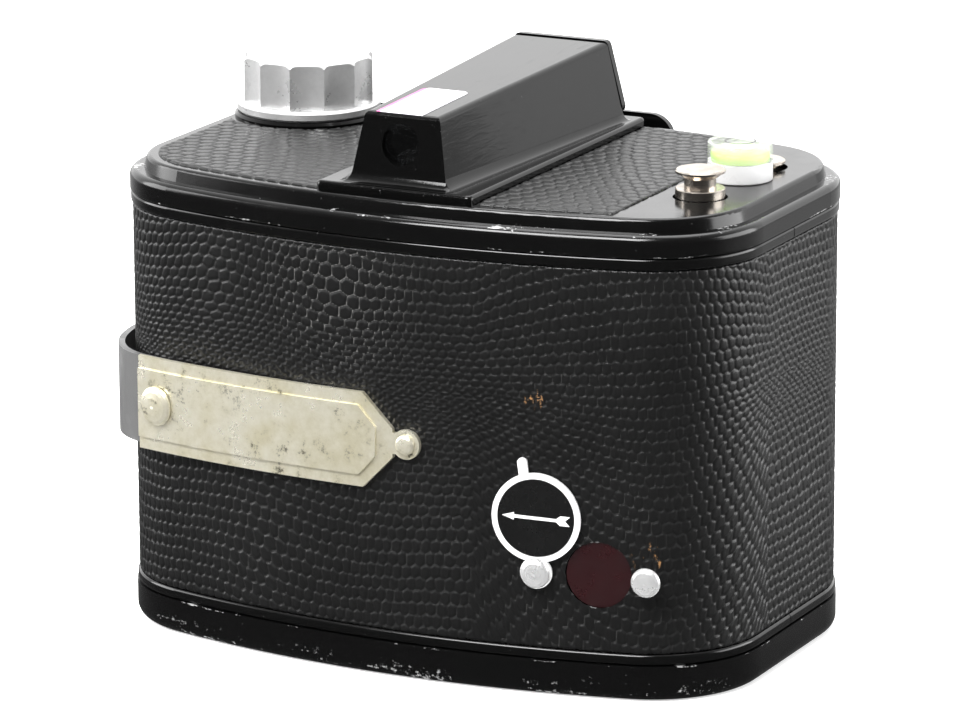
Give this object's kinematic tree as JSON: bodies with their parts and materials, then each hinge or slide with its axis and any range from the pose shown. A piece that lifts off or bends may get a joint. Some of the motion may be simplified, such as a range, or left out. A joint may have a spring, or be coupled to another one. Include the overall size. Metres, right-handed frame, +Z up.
{
  "type": "box camera",
  "caption": "Roll-film box camera with a bowed back, swinging cover for its red window, optical finder, winding knob, push buttons and a lift-off case.",
  "frame": {"origin": "on the surface it stands on, under the middle of the body's plan", "axes": "+X to the end with the release buttons, +Y to the lens, +Z up; the back with the red window faces -Y"},
  "size_m": [0.1315, 0.0907, 0.107],
  "materials": {
    "black_enamel": "gloss black enamel on sheet steel, worn to bare metal along its edges",
    "leatherette": "black leatherette embossed with reptile scales",
    "bakelite": "polished black moulding",
    "satin_aluminium": "satin turned aluminium",
    "worn_nickel": "nickel plate worn to a warm grey",
    "old_nickel": "old nickel plate with a yellow cast and dark spots",
    "bright_rivet": "bright nickel-plated rivet",
    "white_enamel": "white enamel",
    "black_paint": "semi-gloss black paint",
    "red_pane": "dark red celluloid",
    "strap_leather": "smooth black strap leather",
    "clear_glass": "clear optical glass",
    "clear_acrylic": "clear acrylic",
    "level_white": "white plastic",
    "level_fluid": "yellow-green fluid",
    "label_paper": "coated white paper with a pink edge",
    "dull_black": "dull black paint",
    "steel": "bright steel",
    "spring_steel": "spring steel",
    "brass_part": "turned brass"
  },
  "bodies": {
    "base": {"base_cap": "black_enamel", "tripod_bush": "steel", "base_screws": "steel", "carrier_bottom_plate": "dull_black", "carrier_top_plate": "dull_black", "carrier_end_plates": "dull_black", "light_cone": "dull_black", "film_gate": "dull_black", "spool_studs": "steel", "roller_pins": "steel"},
    "take_up": {"take_up_spool": "dull_black"},
    "supply": {"supply_spool": "dull_black"},
    "left_roller": {"guide_roller_left": "steel"},
    "right_roller": {"guide_roller_right": "steel"},
    "case": {"body_shell": "black_enamel", "body_leatherette": "leatherette", "top_cap": "black_enamel", "top_inlay": "leatherette", "pressure_plate": "dull_black", "pressure_springs": "spring_steel", "red_window_pane": "red_pane", "window_rivets": "bright_rivet", "rear_strap_plate": "old_nickel", "front_strap_plate": "old_nickel", "carrying_strap": "strap_leather", "strap_rivets": "old_nickel", "finder_housing": "bakelite", "finder_eye_lens": "clear_glass", "finder_front_frame": "bakelite", "finder_front_lens": "clear_glass", "price_label": "label_paper", "level_cup": "level_white", "level_vial": "clear_acrylic", "level_liquid": "level_fluid", "knob_seat": "bakelite", "click_spring": "spring_steel", "release_spring": "spring_steel", "button_guide": "dull_black", "rocker_brackets": "dull_black", "shutter_plate": "dull_black", "shutter_spring": "spring_steel", "front_panel": "black_enamel", "front_panel_screws": "steel", "lens_bezel": "worn_nickel", "lens_barrel": "black_paint", "lens_element": "clear_glass", "lens_retaining_ring": "black_paint"},
    "winding": {"ratchet_wheel": "brass_part"},
    "knob": {"winding_knob": "satin_aluminium", "winding_spindle": "steel"},
    "release": {"release_button": "worn_nickel"},
    "time_stop": {"time_button": "worn_nickel"},
    "rocker": {"release_rocker": "steel"},
    "sector": {"shutter_sector": "dull_black"},
    "cover": {"window_cover": "white_enamel", "window_cover_face": "black_paint"}
  },
  "joints": [
    {"name": "case_lift", "type": "slide", "parent": "base", "child": "case", "axis": [0, 0, 1], "range_m": [0, 0.085]},
    {"name": "take_up_turn", "type": "hinge", "parent": "base", "child": "take_up", "pos_m": [-0.0475, 0.02, 0.0435], "axis": [0, 0, 1], "continuous": true},
    {"name": "supply_turn", "type": "hinge", "parent": "base", "child": "supply", "pos_m": [0.0475, 0.02, 0.0435], "axis": [0, 0, 1], "continuous": true},
    {"name": "left_roller_turn", "type": "hinge", "parent": "base", "child": "left_roller", "pos_m": [-0.0495, -0.0255, 0.0435], "axis": [0, 0, 1], "continuous": true},
    {"name": "right_roller_turn", "type": "hinge", "parent": "base", "child": "right_roller", "pos_m": [0.0495, -0.0255, 0.0435], "axis": [0, 0, 1], "continuous": true},
    {"name": "winding_turn", "type": "hinge", "parent": "case", "child": "winding", "pos_m": [-0.0475, 0.02, 0.0855], "axis": [0, 0, 1], "continuous": true},
    {"name": "knob_pull", "type": "slide", "parent": "winding", "child": "knob", "axis": [0, 0, 1], "range_m": [0, 0.006]},
    {"name": "release_press", "type": "slide", "parent": "case", "child": "release", "axis": [0, 0, -1], "range_m": [0, 0.0035], "stiffness_N_per_m": 300, "springref_m": -0.001, "deforming": ["release_spring"]},
    {"name": "time_pull", "type": "slide", "parent": "case", "child": "time_stop", "axis": [0, 0, 1], "range_m": [0, 0.0037]},
    {"name": "rocker_turn", "type": "hinge", "parent": "case", "child": "rocker", "pos_m": [0.0335, 0, 0.083], "axis": [0, 1, 0], "range_deg": [0, 12.04]},
    {"name": "sector_turn", "type": "hinge", "parent": "case", "child": "sector", "pos_m": [0.016, 0.033, 0.058], "axis": [0, -1, 0], "range_deg": [0, 45], "deforming": ["shutter_spring"]},
    {"name": "cover_swing", "type": "hinge", "parent": "case", "child": "cover", "pos_m": [0.03065, -0.03919, 0.0236], "axis": [-0.1593, 0.9872, 0], "range_deg": [0, 88]}
  ],
  "couplings": [
    {"joint": "winding_turn", "follows": "take_up_turn", "ratio": 1},
    {"joint": "rocker_turn", "follows": "release_press", "rad_per_m": 60.039},
    {"joint": "sector_turn", "follows": "release_press", "rad_per_m": 224.4}
  ]
}
